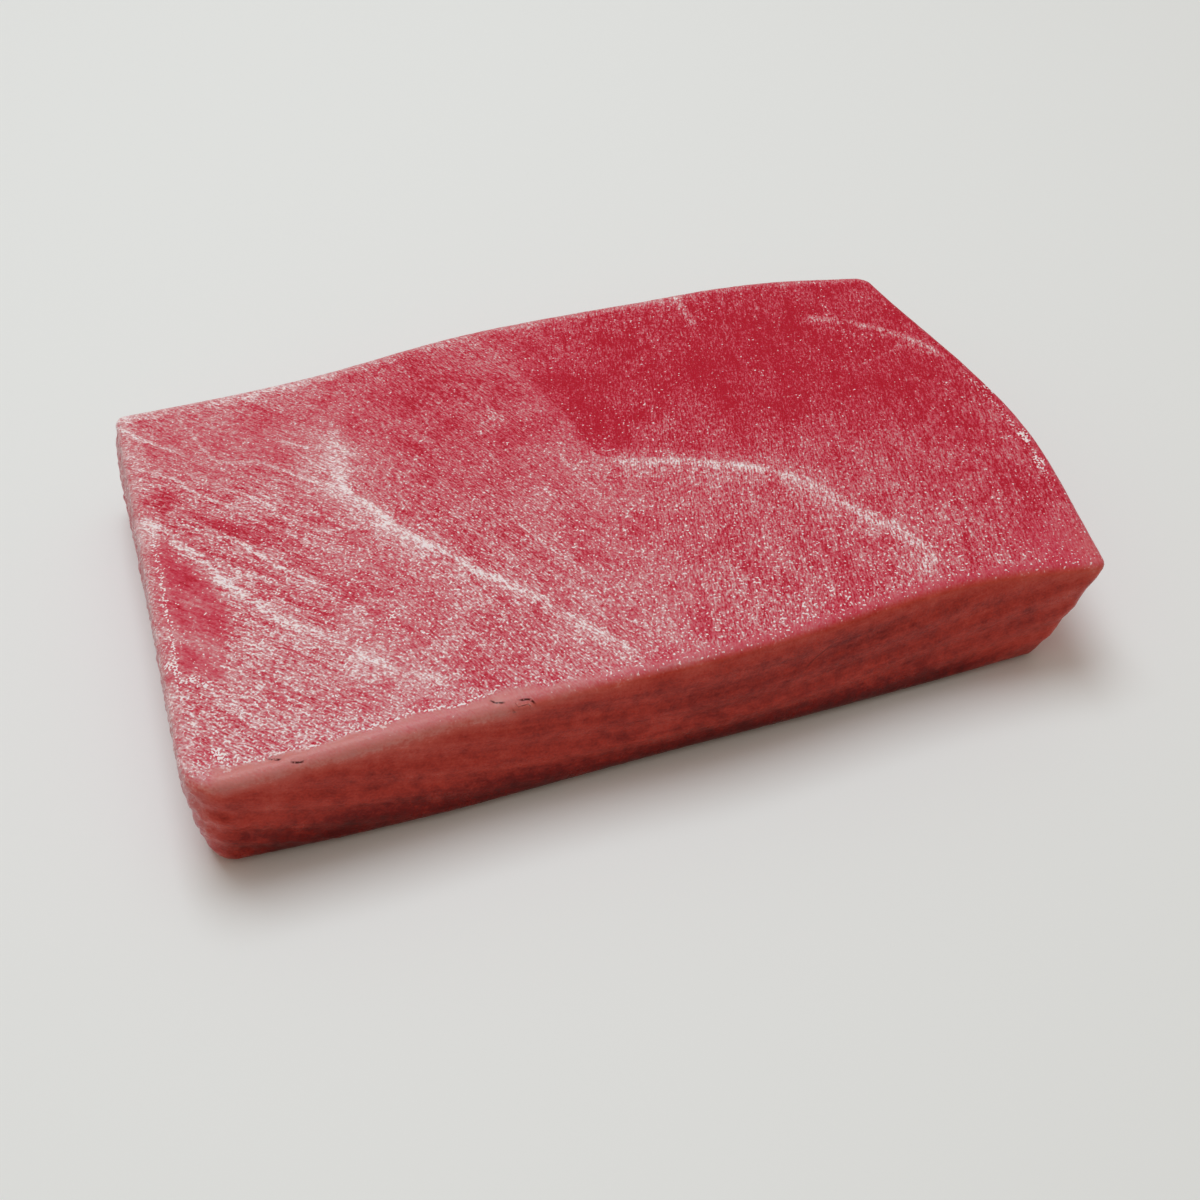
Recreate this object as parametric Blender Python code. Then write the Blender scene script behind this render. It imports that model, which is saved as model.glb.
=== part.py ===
"""A block of tuna belly, trimmed for slicing: one slab of raw fish with soft, knife-cut edges.

Metres, +Z up. X runs along the slab, Y from its front face to its back face. It lies on its flat
underside at Z = 0, and the origin is under the middle of its box.
"""

import math

import bmesh
import bpy
from mathutils import Vector, noise

MM = 0.001

# The slab's plan as two cut outlines, one at the top face and one at the foot. The left end leans
# out towards the foot and the right end is undercut, because one slanting knife stroke made each.
TOP_CORNERS = {
    "front_left": Vector((-71.8, -43.7)) * MM,
    "front_right": Vector((72.5, -41.6)) * MM,
    "back_right": Vector((65.5, 38.9)) * MM,
    "back_left": Vector((-74.5, 39.6)) * MM,
}
FOOT_CORNERS = {
    "front_left": Vector((-70.8, -42.3)) * MM,
    "front_right": Vector((64.8, -39.6)) * MM,
    "back_right": Vector((59.4, 37.2)) * MM,
    "back_left": Vector((-76.5, 39.0)) * MM,
}

# The plan's corner radii at the foot and at the top face.
CORNER_RADII = {
    "front_left": (3.5 * MM, 6.0 * MM),
    "front_right": (1.8 * MM, 1.8 * MM),
    "back_right": (2.6 * MM, 2.6 * MM),
    "back_left": (1.5 * MM, 1.5 * MM),
}

# How each side bows away from the straight line between its corners, as the heights of one to
# five half-waves along it. Sides run from left to right and from front to back.
TOP_BOWS = {
    "front": (1.6, -0.9, 0.95, -0.7, 0.0),
    "back": (5.0, -2.0, -0.1, -0.6, 0.4),
    "left": (0.3, 0.0, 0.0, 0.0, 0.0),
    "right": (5.2, 0.5, -0.4, 0.0, 0.0),
}
FOOT_BOWS = {
    "front": (-1.5, -0.3, -0.4, 0.0, 0.0),
    "back": (4.4, -1.7, 0.0, -0.3, 0.2),
    "left": (-0.9, 0.0, 0.0, 0.0, 0.0),
    "right": (4.4, 0.3, -0.3, 0.0, 0.0),
}

THICKNESS = 22.0 * MM
CROWN = 0.8 * MM
LEFT_END_DROP = 0.9 * MM
TOP_EDGE_RADIUS = 1.5 * MM
FOOT_EDGE_RADIUS = 2.0 * MM
WALL_BELLY = 0.5 * MM

# Low relief left by the knife and by the muscle's own layers.
TOP_WAVE_HEIGHT = 0.4 * MM
TOP_WAVE_LENGTH = 24.0 * MM
WALL_WAVE_HEIGHT = 0.45 * MM
WALL_WAVE_LENGTH = 14.0 * MM
WAVE_SEED = Vector((11.3, 4.7, 2.9))

# The muscle's layers sag through the block like a hammock, lowest a little right of its middle, and
# stand out on the walls as ridges.
LAYER_SAG = 3.0
LAYER_LOW_X = 8.0 * MM
LAYER_RIDGE_HEIGHT = 0.2 * MM
LAYER_RIDGE_PITCH = 5.5 * MM

CELL = 2.6 * MM
EDGE_ROWS = 3
EDGE_ROW_SPREAD = 1.6
ON_RIM = 0.9999

FLESH_COLOUR = (0.52, 0.075, 0.09, 1.0)
FLESH_ROUGHNESS = 0.38


def clear_scene():
    for obj in list(bpy.data.objects):
        bpy.data.objects.remove(obj, do_unlink=True)


def new_collection(name):
    collection = bpy.data.collections.new(name)
    bpy.context.scene.collection.children.link(collection)
    return collection


def flesh_material():
    material = bpy.data.materials.new("raw_tuna_flesh")
    material.use_nodes = True
    shader = material.node_tree.nodes["Principled BSDF"]
    shader.inputs["Base Color"].default_value = FLESH_COLOUR
    shader.inputs["Roughness"].default_value = FLESH_ROUGHNESS
    shader.inputs["Metallic"].default_value = 0.0
    material.diffuse_color = FLESH_COLOUR
    return material


def corner_at(name, level):
    """A corner of the plan at a height, from 0 at the foot to 1 at the top face."""
    return FOOT_CORNERS[name].lerp(TOP_CORNERS[name], level)


def bow_at(side, run, level):
    """How far a side stands off its straight line, part way along it and part way up."""
    total = 0.0
    for count, (foot, top) in enumerate(zip(FOOT_BOWS[side], TOP_BOWS[side]), start=1):
        total += (foot + (top - foot) * level) * math.sin(math.pi * count * run)
    return total * MM


def plan_point(along, across, level):
    """A Coons patch: the four bowed sides at one height, blended over the inside."""
    front = corner_at("front_left", level).lerp(corner_at("front_right", level), along)
    back = corner_at("back_left", level).lerp(corner_at("back_right", level), along)
    bow_y = bow_at("front", along, level) * (1.0 - across) + bow_at("back", along, level) * across
    bow_x = bow_at("left", across, level) * (1.0 - along) + bow_at("right", across, level) * along
    return front.lerp(back, across) + Vector((bow_x, bow_y))


def rounded_outline(spot, half_size, level, inset):
    """Draws a point of the oblong grid in and onto rounded plan corners, each with its own radius.

    Also gives the way out of the outline there, or None for a point inside it.
    """
    signs = Vector([math.copysign(1.0, value) for value in spot])
    ends = ("right" if signs.x > 0 else "left", "back" if signs.y > 0 else "front")
    foot_radius, top_radius = CORNER_RADII[f"{ends[1]}_{ends[0]}"]
    radius = foot_radius + (top_radius - foot_radius) * level
    radius = max(radius - inset, TOP_EDGE_RADIUS / 4.0)
    reach = Vector([abs(value) * (1.0 - inset / half) for value, half in zip(spot, half_size)])
    centre = half_size - Vector((inset + radius, inset + radius))
    past = reach - centre
    if min(past) > 0.0:
        outward = past.normalized()
        reach = centre + outward * max(past)
    else:
        outward = Vector((float(past.x > past.y), float(past.y >= past.x)))
    on_rim = max(abs(value) / half for value, half in zip(spot, half_size)) > ON_RIM
    return reach * signs, outward * signs if on_rim else None


def edge_heights():
    """The heights of the grid's rows: close together where the edges are rounded."""
    steps = [(row / EDGE_ROWS) ** EDGE_ROW_SPREAD for row in range(EDGE_ROWS + 1)]
    foot = [FOOT_EDGE_RADIUS * step for step in steps]
    top = [THICKNESS - TOP_EDGE_RADIUS * step for step in reversed(steps)]
    span = top[0] - foot[-1]
    count = round(span / CELL)
    wall = [foot[-1] + span * row / count for row in range(1, count)]
    return foot + wall + top


def edge_inset(height):
    """How far the plan is drawn in at a height, which rounds the top and foot edges."""
    if height > THICKNESS - TOP_EDGE_RADIUS:
        radius = TOP_EDGE_RADIUS
        rise = height - (THICKNESS - TOP_EDGE_RADIUS)
    elif height < FOOT_EDGE_RADIUS:
        radius = FOOT_EDGE_RADIUS
        rise = FOOT_EDGE_RADIUS - height
    else:
        return 0.0
    return radius - math.sqrt(max(radius**2 - rise**2, 0.0))


def top_rise(place, along, across):
    """How the top face stands above or below its plain height: a crown, a thin end and waves."""
    crown = CROWN * math.sin(math.pi * along) * math.sin(math.pi * across)
    thin_end = LEFT_END_DROP * (1.0 - along) ** 2
    wave = noise.noise(place.to_3d() / TOP_WAVE_LENGTH + WAVE_SEED)
    return crown - thin_end + TOP_WAVE_HEIGHT * wave


def wall_push(place, level):
    """How far a wall stands proud: a soft belly, knife waves and the muscle's layers as ridges."""
    wave = WALL_WAVE_HEIGHT * noise.noise(place / WALL_WAVE_LENGTH + WAVE_SEED * 2.0)
    layer = place.z - LAYER_SAG * (place.x - LAYER_LOW_X) ** 2
    ridge = LAYER_RIDGE_HEIGHT * math.sin(2.0 * math.pi * layer / LAYER_RIDGE_PITCH)
    return (WALL_BELLY + wave + ridge) * math.sin(math.pi * level)


def slab_point(spot, height, half_size):
    """Where one point of the oblong grid lies on the finished slab."""
    level = height / THICKNESS
    spot, outward = rounded_outline(spot, half_size, level, edge_inset(height))
    along = spot.x / (2.0 * half_size.x) + 0.5
    across = spot.y / (2.0 * half_size.y) + 0.5
    place = plan_point(along, across, level)
    rise = top_rise(place, along, across) * level
    if outward:
        place += outward * wall_push(Vector((*place, height)), level)
    return Vector((*place, height + rise))


def grid_box(divisions):
    """A unit cube whose faces are cut into a grid, with so many cells along X, Y and Z."""
    mesh = bmesh.new()
    bmesh.ops.create_cube(mesh, size=1.0)
    for axis, count in enumerate(divisions):
        edges = [e for e in mesh.edges if abs((e.verts[1].co - e.verts[0].co)[axis]) > 0.5]
        bmesh.ops.subdivide_edges(mesh, edges=edges, cuts=count - 1, use_grid_fill=True)
    return mesh


def join_underside(mesh):
    """Joins the flat faces that the slab lies on into one."""
    flat = [face for face in mesh.faces if all(vert.co.z == 0.0 for vert in face.verts)]
    bmesh.ops.dissolve_faces(mesh, faces=flat, use_verts=False)


def centre_on_origin(mesh):
    """Sets the origin under the middle of the slab's box."""
    for axis in (0, 1):
        values = [vert.co[axis] for vert in mesh.verts]
        middle = (min(values) + max(values)) / 2.0
        for vert in mesh.verts:
            vert.co[axis] -= middle


def build_slab(collection):
    length = TOP_CORNERS["front_right"].x - TOP_CORNERS["front_left"].x
    width = TOP_CORNERS["back_left"].y - TOP_CORNERS["front_left"].y
    heights = edge_heights()
    rows = len(heights) - 1
    mesh = grid_box((round(length / CELL), round(width / CELL), rows))
    for vert in mesh.verts:
        spot = Vector((vert.co.x * length, vert.co.y * width))
        height = heights[round((vert.co.z + 0.5) * rows)]
        vert.co = slab_point(spot, height, Vector((length, width)) / 2.0)
    join_underside(mesh)
    centre_on_origin(mesh)
    bmesh.ops.recalc_face_normals(mesh, faces=mesh.faces)

    data = bpy.data.meshes.new("tuna_belly_block")
    mesh.to_mesh(data)
    mesh.free()
    data.shade_smooth()
    data.set_sharp_from_angle(angle=math.radians(50.0))
    data.materials.append(flesh_material())
    slab = bpy.data.objects.new("tuna_belly_block", data)
    collection.objects.link(slab)


clear_scene()
build_slab(new_collection("tuna_belly"))
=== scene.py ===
"""Looks for a block of raw tuna belly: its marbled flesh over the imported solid, floor, light and camera.

Metres, +Z up. X runs along the block, Y from its front face to its back face.
"""

import math

import bmesh
import bpy
import numpy as np
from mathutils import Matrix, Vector, noise


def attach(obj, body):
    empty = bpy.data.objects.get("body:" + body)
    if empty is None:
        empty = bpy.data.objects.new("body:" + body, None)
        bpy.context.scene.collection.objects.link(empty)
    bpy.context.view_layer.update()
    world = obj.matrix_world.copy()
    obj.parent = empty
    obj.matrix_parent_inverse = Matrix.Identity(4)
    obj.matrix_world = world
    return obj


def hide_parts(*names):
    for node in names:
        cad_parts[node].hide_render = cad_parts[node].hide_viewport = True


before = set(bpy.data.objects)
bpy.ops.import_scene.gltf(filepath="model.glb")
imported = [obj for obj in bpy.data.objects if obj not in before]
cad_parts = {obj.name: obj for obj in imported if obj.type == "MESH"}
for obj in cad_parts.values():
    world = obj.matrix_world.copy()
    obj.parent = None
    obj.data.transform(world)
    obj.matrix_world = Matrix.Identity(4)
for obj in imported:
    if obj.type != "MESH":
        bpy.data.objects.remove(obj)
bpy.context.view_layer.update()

# The block of belly. One slab of raw muscle and fat, cut with a long knife: a flat top face, a
# front and a back face along the grain, and two ends cut on one slant, so the left end leans out
# towards the foot and the right end is undercut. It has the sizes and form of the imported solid.
MM = 0.001
TOP_CORNERS = {
    "front_left": Vector((-71.8, -43.7)) * MM,
    "front_right": Vector((72.5, -41.6)) * MM,
    "back_right": Vector((65.5, 38.9)) * MM,
    "back_left": Vector((-74.5, 39.6)) * MM,
}
FOOT_CORNERS = {
    "front_left": Vector((-70.8, -42.3)) * MM,
    "front_right": Vector((64.8, -39.6)) * MM,
    "back_right": Vector((59.4, 37.2)) * MM,
    "back_left": Vector((-76.5, 39.0)) * MM,
}
CORNER_RADII = {
    "front_left": (3.5 * MM, 6.0 * MM),
    "front_right": (1.8 * MM, 1.8 * MM),
    "back_right": (2.6 * MM, 2.6 * MM),
    "back_left": (1.5 * MM, 1.5 * MM),
}
TOP_BOWS = {
    "front": (1.6, -0.9, 0.95, -0.7, 0.0),
    "back": (5.0, -2.0, -0.1, -0.6, 0.4),
    "left": (0.3, 0.0, 0.0, 0.0, 0.0),
    "right": (5.2, 0.5, -0.4, 0.0, 0.0),
}
FOOT_BOWS = {
    "front": (-1.5, -0.3, -0.4, 0.0, 0.0),
    "back": (4.4, -1.7, 0.0, -0.3, 0.2),
    "left": (-0.9, 0.0, 0.0, 0.0, 0.0),
    "right": (4.4, 0.3, -0.3, 0.0, 0.0),
}
THICKNESS = 22.0 * MM
CROWN = 0.8 * MM
LEFT_END_DROP = 0.9 * MM
TOP_EDGE_RADIUS = 1.5 * MM
FOOT_EDGE_RADIUS = 2.0 * MM
WALL_BELLY = 0.5 * MM
TOP_WAVE_HEIGHT = 0.4 * MM
TOP_WAVE_LENGTH = 24.0 * MM
WALL_WAVE_HEIGHT = 0.45 * MM
WALL_WAVE_LENGTH = 14.0 * MM
WAVE_SEED = Vector((11.3, 4.7, 2.9))
LAYER_SAG = 3.0
LAYER_LOW_X = 8.0 * MM
LAYER_RIDGE_HEIGHT = 0.2 * MM
LAYER_RIDGE_PITCH = 5.5 * MM
CELL = 0.5 * MM
WALL_CELL = 0.8 * MM
EDGE_ROWS = 4
EDGE_ROW_SPREAD = 1.5
ON_RIM = 0.9999


def corner_at(name, level):
    return FOOT_CORNERS[name].lerp(TOP_CORNERS[name], level)


def bow_at(side, run, level):
    total = 0.0
    for count, (foot, top) in enumerate(zip(FOOT_BOWS[side], TOP_BOWS[side]), start=1):
        total += (foot + (top - foot) * level) * math.sin(math.pi * count * run)
    return total * MM


def plan_point(along, across, level):
    front = corner_at("front_left", level).lerp(corner_at("front_right", level), along)
    back = corner_at("back_left", level).lerp(corner_at("back_right", level), along)
    bow_y = bow_at("front", along, level) * (1.0 - across) + bow_at("back", along, level) * across
    bow_x = bow_at("left", across, level) * (1.0 - along) + bow_at("right", across, level) * along
    return front.lerp(back, across) + Vector((bow_x, bow_y))


def rounded_outline(spot, half_size, level, inset):
    """Draws a grid point in and round the plan corners, and gives the way out if it is on the rim."""
    signs = Vector([math.copysign(1.0, value) for value in spot])
    ends = ("right" if signs.x > 0 else "left", "back" if signs.y > 0 else "front")
    foot_radius, top_radius = CORNER_RADII[f"{ends[1]}_{ends[0]}"]
    radius = foot_radius + (top_radius - foot_radius) * level
    radius = max(radius - inset, TOP_EDGE_RADIUS / 4.0)
    reach = Vector([abs(value) * (1.0 - inset / half) for value, half in zip(spot, half_size)])
    centre = half_size - Vector((inset + radius, inset + radius))
    past = reach - centre
    if min(past) > 0.0:
        outward = past.normalized()
        reach = centre + outward * max(past)
    else:
        outward = Vector((float(past.x > past.y), float(past.y >= past.x)))
    on_rim = max(abs(value) / half for value, half in zip(spot, half_size)) > ON_RIM
    return reach * signs, outward * signs if on_rim else None


def edge_heights():
    steps = [(row / EDGE_ROWS) ** EDGE_ROW_SPREAD for row in range(EDGE_ROWS + 1)]
    foot = [FOOT_EDGE_RADIUS * step for step in steps]
    top = [THICKNESS - TOP_EDGE_RADIUS * step for step in reversed(steps)]
    span = top[0] - foot[-1]
    count = round(span / WALL_CELL)
    wall = [foot[-1] + span * row / count for row in range(1, count)]
    return foot + wall + top


def edge_inset(height):
    if height > THICKNESS - TOP_EDGE_RADIUS:
        radius = TOP_EDGE_RADIUS
        rise = height - (THICKNESS - TOP_EDGE_RADIUS)
    elif height < FOOT_EDGE_RADIUS:
        radius = FOOT_EDGE_RADIUS
        rise = FOOT_EDGE_RADIUS - height
    else:
        return 0.0
    return radius - math.sqrt(max(radius**2 - rise**2, 0.0))


def top_rise(place, along, across):
    crown = CROWN * math.sin(math.pi * along) * math.sin(math.pi * across)
    thin_end = LEFT_END_DROP * (1.0 - along) ** 2
    wave = noise.noise(place.to_3d() / TOP_WAVE_LENGTH + WAVE_SEED)
    return crown - thin_end + TOP_WAVE_HEIGHT * wave


def wall_push(place, level):
    wave = WALL_WAVE_HEIGHT * noise.noise(place / WALL_WAVE_LENGTH + WAVE_SEED * 2.0)
    layer = place.z - LAYER_SAG * (place.x - LAYER_LOW_X) ** 2
    ridge = LAYER_RIDGE_HEIGHT * math.sin(2.0 * math.pi * layer / LAYER_RIDGE_PITCH)
    return (WALL_BELLY + wave + ridge) * math.sin(math.pi * level)


def slab_point(spot, height, half_size):
    level = height / THICKNESS
    spot, outward = rounded_outline(spot, half_size, level, edge_inset(height))
    along = spot.x / (2.0 * half_size.x) + 0.5
    across = spot.y / (2.0 * half_size.y) + 0.5
    place = plan_point(along, across, level)
    rise = top_rise(place, along, across) * level
    if outward:
        place += outward * wall_push(Vector((*place, height)), level)
    return Vector((*place, height + rise))


length = TOP_CORNERS["front_right"].x - TOP_CORNERS["front_left"].x
width = TOP_CORNERS["back_left"].y - TOP_CORNERS["front_left"].y
half_size = Vector((length, width)) / 2.0
heights = edge_heights()
divisions = (round(length / CELL), round(width / CELL), len(heights) - 1)

block = bmesh.new()
bmesh.ops.create_cube(block, size=1.0)
for axis, count in enumerate(divisions):
    long_edges = [e for e in block.edges if abs((e.verts[1].co - e.verts[0].co)[axis]) > 0.5]
    bmesh.ops.subdivide_edges(block, edges=long_edges, cuts=count - 1, use_grid_fill=True)

# Each vertex keeps its place on the unbent block, which gives its distance from every edge.
unbent = block.verts.layers.float_vector.new("unbent")
for vert in block.verts:
    spot = Vector((vert.co.x * length, vert.co.y * width))
    height = heights[round((vert.co.z + 0.5) * divisions[2])]
    vert[unbent] = (*spot, height)
    vert.co = slab_point(spot, height, half_size)

# The underside is flat and lies on the floor, so its grid is taken out.
under = [v for v in block.verts if all(e.other_vert(v).co.z == 0.0 for e in v.link_edges)]
bmesh.ops.dissolve_verts(block, verts=under)
bmesh.ops.recalc_face_normals(block, faces=block.faces)

flesh_data = bpy.data.meshes.new("belly_flesh")
block.to_mesh(flesh_data)
block.free()
flesh_data.shade_smooth()
flesh = bpy.data.objects.new("belly_flesh", flesh_data)
bpy.context.scene.collection.objects.link(flesh)

# Each vertex's place in mm, its depth under the top face, and how far in it lies from each top edge.
# Going down a wall, its distance from that edge is counted as less than zero.
places = np.empty(len(flesh_data.vertices) * 3)
flesh_data.vertices.foreach_get("co", places)
places = places.reshape(-1, 3)
middle = (places.min(axis=0) + places.max(axis=0)) / 2.0

grid = np.empty(len(places) * 3)
flesh_data.attributes["unbent"].data.foreach_get("vector", grid)
grid = grid.reshape(-1, 3) / MM
depth = THICKNESS / MM - grid[:, 2]
level = grid[:, 2] / (THICKNESS / MM)
from_edge = {
    "front": grid[:, 1] + width / MM / 2.0 - depth,
    "back": width / MM / 2.0 - grid[:, 1] - depth,
    "left": grid[:, 0] + length / MM / 2.0 - depth,
    "right": length / MM / 2.0 - grid[:, 0] - depth,
}
on_wall = np.clip(depth / (TOP_EDGE_RADIUS / MM), 0.0, 1.0)
xyz = places / MM
x, y = xyz[:, 0], xyz[:, 1]

# Sinews. Thin sheets of white connective tissue between the flakes of muscle. The knife shows each
# as a line on the top face, sharp on its back side, and the sheet goes on down, leaning to the right.
# Each has its points in mm on the top face, its half width in mm, its whiteness and its halo of fat.
SINEWS = [
    ([(-40, 25.5), (-39.2, 18), (-39.2, 12)], 2.3, 0.1, 0.26),
    ([(-39.2, 14), (-39, 8.3), (-35.2, 2), (-28, -8), (-20.9, -17.5), (-14.8, -23.4)], 0.7, 0.26, 0.32),
    ([(-14.8, -23.4), (-8.6, -31.8), (-4.3, -37.8)], 0.7, 0.2, 0.16),
    ([(5, 2.6), (7.2, 2.2), (15.3, -0.5), (24.4, -4.7), (29.7, -7.7)], 0.9, 0.26, 0.2),
    (
        [(29.7, -7.7), (33.2, -11.3), (38.5, -19.2), (43.7, -24.7), (46.1, -30.5), (44.4, -36)],
        1.2,
        0.22,
        0.18,
    ),
    ([(50.4, 29.8), (53, 29.4), (56.3, 27.4)], 1.2, 0.3, 0.2),
    ([(56.3, 27.4), (62.6, 22.2), (66.3, 17.9), (69.3, 13.4)], 0.8, 0.34, 0.14),
    ([(67, 18), (59, 15.8), (50.1, 13.8)], 0.4, 0.24, 0.0),
    ([(64, 8.6), (59.6, 8.1), (56.9, 6.2)], 0.35, 0.22, 0.0),
    ([(53.7, 8.8), (50.3, 8.4)], 0.35, 0.2, 0.0),
    ([(-74, 11), (-70.2, 9.4), (-65.2, 1.6), (-60.4, -6.2), (-53.7, -16)], 0.9, 0.2, 0.18),
    ([(-53.7, -16), (-47.4, -22.2), (-38.9, -30.2), (-31.7, -36)], 1.0, 0.14, 0.08),
    ([(-73, 25.5), (-67.2, 21.3), (-61.7, 14.4), (-53.7, 4.9), (-48.7, -1)], 0.42, 0.26, 0.0),
    ([(-63.4, 7.8), (-57.9, 2.9), (-50.7, -6.1), (-43.7, -14)], 0.42, 0.28, 0.04),
    ([(-58.8, 16.1), (-53.5, 10.4), (-49.1, 3.1)], 0.42, 0.28, 0.0),
    ([(-61.9, 31.7), (-59, 23.2), (-52.2, 19.7), (-41.7, 11)], 0.35, 0.26, 0.0),
    ([(-49, 24.4), (-43.9, 21.3), (-41.9, 20.2)], 0.35, 0.4, 0.0),
    ([(-48.7, 24.3), (-44.3, 18.6), (-39.7, 12)], 0.4, 0.22, 0.0),
    ([(-75, 37.6), (-70.3, 31.5), (-64.4, 26.9)], 0.45, 0.3, 0.0),
    ([(-49.4, 2.8), (-40.5, 0.6), (-32.8, -1)], 0.6, 0.2, 0.04),
    ([(-4.1, 8), (-2.7, 1.3), (0.3, -5)], 0.28, 0.26, 0.0),
    ([(-14.4, -6.4), (-11.7, -12.1), (-7.7, -18.7), (-3.7, -26)], 0.3, 0.22, 0.0),
    ([(2, -4.8), (4.5, -12.7), (7.3, -20)], 0.45, 0.16, 0.0),
    ([(-16.7, 30.4), (-13.4, 25.2), (-10.7, 18.7)], 0.5, 0.2, 0.04),
    ([(28.1, 43), (28.2, 39.1), (28.9, 33.9)], 0.9, 0.46, 0.08),
]
SHEET_LEAN = 0.35
SINEW_REACH = 2.5
SINEW_RELIEF = 0.22
TIP_WIDTH = 0.3
TIP_TAPER = 6.0
HALO_WIDTH = 3.4
LINE_STEPS = 8

# Nothing in flesh is straight: every line and patch is bent by waves of these lengths and heights.
WIGGLES = ((11.0, 0.9), (2.0, 0.2))
WIGGLE_SEEDS = (Vector((5.3, 1.1, 8.7)), Vector((2.9, 7.7, 3.1)))


def smooth_line(points):
    """Points along a smooth curve through the given ones."""
    ends = [np.array(p, float) for p in (points[0], *points, points[-1])]
    line = []
    for a, b, c, d in zip(ends, ends[1:], ends[2:], ends[3:]):
        for t in np.linspace(0.0, 1.0, LINE_STEPS, endpoint=False):
            slope = (c - a) * t
            bend = (2.0 * a - 5.0 * b + 4.0 * c - d) * t**2
            twist = (3.0 * b - a - 3.0 * c + d) * t**3
            line.append((2.0 * b + slope + bend + twist) / 2.0)
    return np.array([*line, ends[-1]])


def gap_from(line, spots):
    """Each spot's distance from a line, counted as more than zero on its left, and how far along."""
    gap = np.full(len(spots), np.inf)
    along = np.zeros(len(spots))
    for index, (a, b) in enumerate(zip(line, line[1:])):
        step = b - a
        t = np.clip(((spots - a) @ step) / (step @ step), 0.0, 1.0)
        off = spots - (a + t[:, None] * step)
        distance = np.linalg.norm(off, axis=1)
        side = np.sign(step[0] * off[:, 1] - step[1] * off[:, 0])
        nearer = distance < np.abs(gap)
        gap[nearer] = (distance * side)[nearer]
        along[nearer] = (index + t[nearer]) / (len(line) - 1)
    return gap, along


cut_spots = xyz[:, :2] - np.outer(np.minimum(depth, THICKNESS / MM), (SHEET_LEAN, 0.0))
for wave_length, wave_height in WIGGLES:
    for axis, seed in enumerate(WIGGLE_SEEDS):
        wiggle = np.array([noise.noise(Vector(p) / wave_length + seed) for p in xyz])
        cut_spots[:, axis] += wiggle * wave_height

sinew = np.zeros(len(xyz))
sinew_gap = np.full(len(xyz), SINEW_REACH)
sinew_white = np.zeros(len(xyz))
halo = np.zeros(len(xyz))
for points, half_width, whiteness, glow in SINEWS:
    gap, along = gap_from(smooth_line(points), cut_spots)
    taper = np.clip(np.minimum(along, 1.0 - along) * TIP_TAPER + TIP_WIDTH, 0.0, 1.0)
    profile = whiteness * taper * np.exp(-0.5 * (gap / half_width) ** 2)
    stronger = profile > sinew
    sinew[stronger] = profile[stronger]
    sinew_gap[stronger] = (gap / half_width)[stronger]
    fade = np.clip(SINEW_REACH - np.abs(gap) / half_width, 0.0, 1.0)
    sinew_white[stronger] = (whiteness * taper * fade)[stronger]
    front_side = np.where(gap < 0.0, HALO_WIDTH, half_width)
    halo = np.maximum(halo, glow * taper * np.exp(-((gap / front_side) ** 2)))

# Lean and fat. The fat lies between the muscle fibres and is thickest at the front left. At the
# back right the flesh is nearly all red muscle, which starts at a sharp edge on its left.
# Each patch has its middle and its two radii in mm, its turn in degrees and the fat that it adds.
FAT_IN_MIDDLE = 0.43
FAT_SLOPE = -0.0016
FAT_PATCHES = [
    ((-20, 26), (19, 14), -20, -0.22),
    ((-20, 6), (15, 8), 0, -0.1),
    # The front left's paleness is partly fat and partly painted sheen.
    ((-50, -27), (24, 13), 0, 0.16),
    ((-6, -33), (12, 8), 0, 0.08),
    ((60, 6), (15, 14), 0, -0.09),
    ((64, -14), (9, 12), 0, -0.06),
    ((62, -30), (6, 7), 0, -0.06),
    ((67, 0), (3, 5), 0, 0.1),
    ((-45, 10), (7, 9), 30, 0.09),
    ((-10.7, 18.7), (4.5, 4), 0, 0.12),
    ((13.2, 9), (5, 3), 20, 0.2),
    ((0.6, 3.3), (3.5, 3), 0, 0.1),
    ((-12, 27.2), (2.5, 3), 0, 0.12),
    # Smears on the glazed patch, and a lip in the middle of the front edge.
    ((-65.4, -8.8), (4.6, 1.2), -46, 0.24),
    ((-67.4, -16.4), (6.0, 1.5), -35, 0.26),
    ((-66.8, -10.8), (4.2, 0.6), -75, 0.14),
    ((-64.6, -21.0), (2.4, 0.8), -60, 0.14),
    ((1.0, -41.4), (4.5, 0.9), 8, 0.22),
    # The glazed patch's deeper parts, and the red gaps between the fibres at the left.
    ((-67.2, -2.5), (4.6, 2.0), -52, -0.16),
    ((-62.8, -14.5), (4.6, 1.6), -75, -0.14),
    ((-69, 16), (3.5, 2.2), -50, -0.3),
    ((-67, 6), (3, 2.5), -50, -0.2),
    ((-62, 9), (5, 1.4), -45, -0.26),
    ((-58, 5), (6, 1.1), -45, -0.24),
    ((-52, 2), (7, 1.2), -42, -0.24),
    ((-55, -4.5), (6, 0.9), -50, -0.22),
    ((-47, -7), (7, 1.0), -48, -0.2),
    ((-44, 3), (5, 1.0), -40, -0.16),
    ((-50, -14), (6, 0.9), -48, -0.16),
]
LEAN_PATCHES = [
    ((30.0, 23.0), (48.0, 26.0), 0, 0.4),
    ((3, 11.5), (8, 9), -35, 0.19),
]
LEAN_EDGE = [
    (-11, 47),
    (-6.3, 38),
    (-3.6, 27),
    (-0.7, 18),
    (0.4, 11),
    (2.4, 5.6),
    (5, 4.4),
    (8.2, 4.9),
    (14, 3),
    (24, -1),
    (36, -8),
    (60, -30),
]
GLAZED_PATCH = [
    (-71.8, 8.4),
    (-72.2, -6.5),
    (-71.7, -14),
    (-70.3, -18.7),
    (-69.2, -22),
    (-66, -23.4),
    (-63.8, -25.6),
    (-62.9, -21.3),
    (-62.8, -18.1),
    (-61.5, -14.9),
    (-60.6, -11.2),
    (-61.9, -5.8),
    (-64.6, -1.9),
    (-67.1, 1.3),
    (-69, 5.7),
    (-71.8, 8.4),
]
GLAZED_EDGE = (-1.0, 1.6)
GLAZED_LEAN = 0.22
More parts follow.
